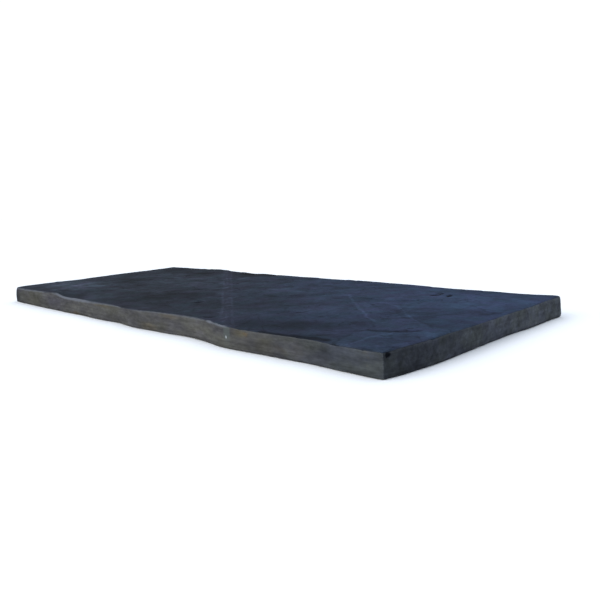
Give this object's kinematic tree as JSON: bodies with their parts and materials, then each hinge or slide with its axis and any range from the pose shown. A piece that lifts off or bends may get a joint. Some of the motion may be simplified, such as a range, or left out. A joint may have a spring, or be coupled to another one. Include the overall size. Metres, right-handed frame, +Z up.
{
  "type": "slate slab",
  "caption": "Long riven slate slab with dressed wavy edges and worn corners, for a hearth, step, sill or coping.",
  "frame": {"origin": "centre of the flat underside, on the surface that the slab lies on", "axes": "+X along the slab towards its right end, +Y across it from the front edge to the back edge, +Z up through the riven face"},
  "size_m": [1.0072, 0.4024, 0.0347],
  "materials": {
    "slate": "dark blue-grey riven slate, matt to faintly satin on the cleaved face, with brown-grey dressed edges"
  },
  "bodies": {
    "root": {"slab": "slate"}
  },
  "joints": []
}
